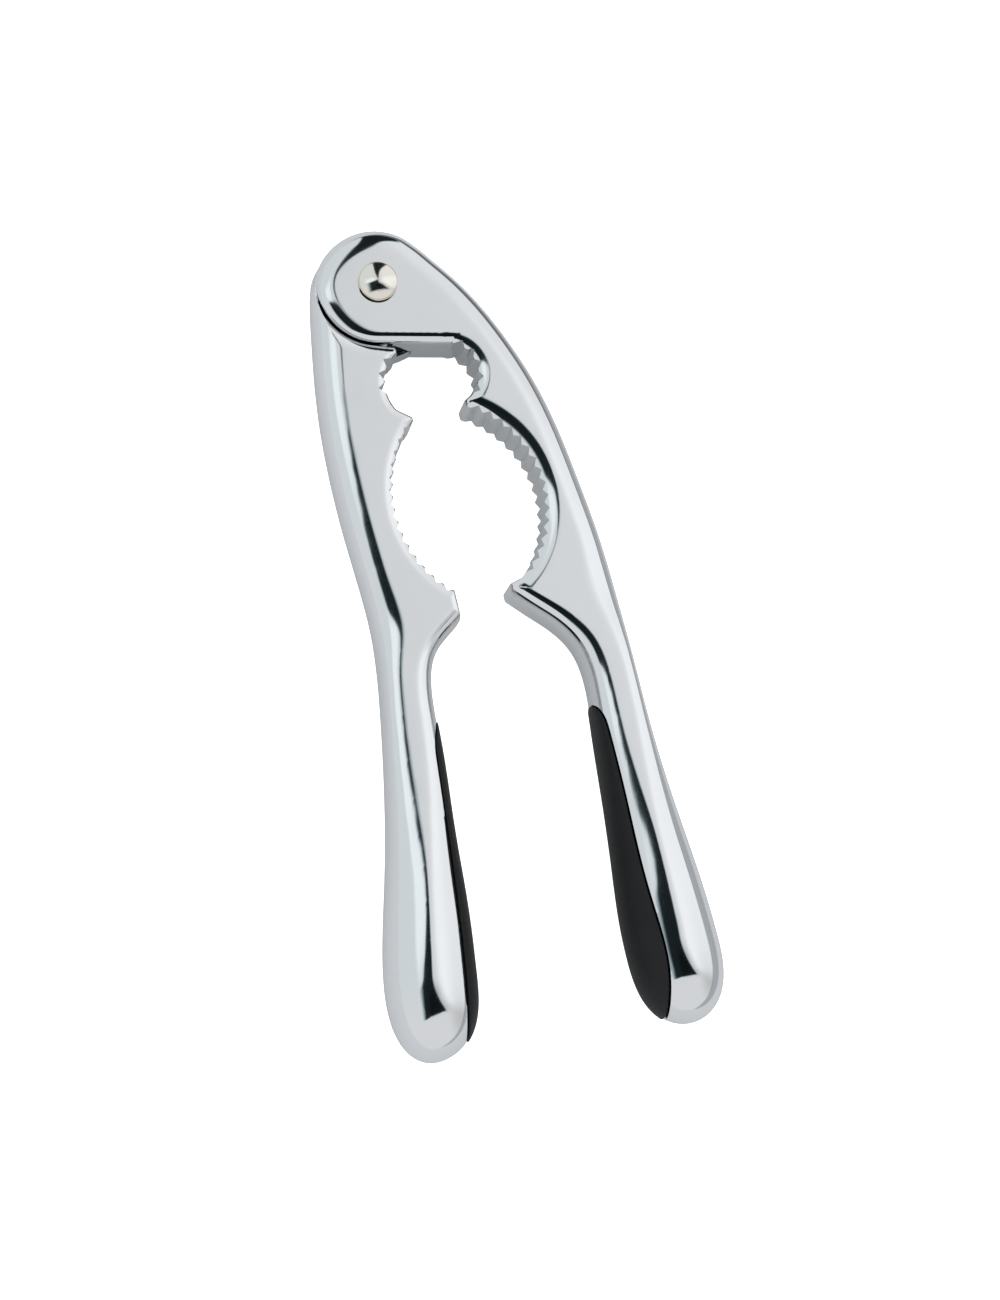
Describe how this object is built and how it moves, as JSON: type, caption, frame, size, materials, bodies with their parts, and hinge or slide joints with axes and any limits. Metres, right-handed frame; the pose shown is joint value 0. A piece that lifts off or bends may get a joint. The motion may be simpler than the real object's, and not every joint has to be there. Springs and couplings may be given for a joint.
{
  "type": "lever nutcracker",
  "caption": "Plier-style nutcracker: two chrome levers on a riveted half-lap hinge, toothed jaws with a large and a small hollow, black grip inserts in rounded handles.",
  "frame": {"origin": "centre of the bounding box in plan, on the surface that the tool lies on", "axes": "+Z out of the front face, +Y towards the hinge end, +X to the right-hand lever seen from the front"},
  "size_m": [0.0714, 0.1806, 0.02],
  "materials": {
    "chrome_casting": "polished bright chrome plate on a cast arm",
    "nickel_rivet": "polished warm nickel plate",
    "steel_washer": "plain pressed steel",
    "grip_rubber": "matt soft-touch rubber"
  },
  "bodies": {
    "right_lever": {"right_arm": "chrome_casting", "right_grip": "grip_rubber", "pivot_rivet": "nickel_rivet", "thrust_washer": "steel_washer", "tail_washer": "steel_washer"},
    "left_lever": {"left_arm": "chrome_casting", "left_grip": "grip_rubber"}
  },
  "joints": [
    {"name": "lever_hinge", "type": "hinge", "parent": "right_lever", "child": "left_lever", "pos_m": [-0.0026, 0.0773, 0.01], "axis": [0, 0, 1], "range_deg": [-40, 7]}
  ]
}
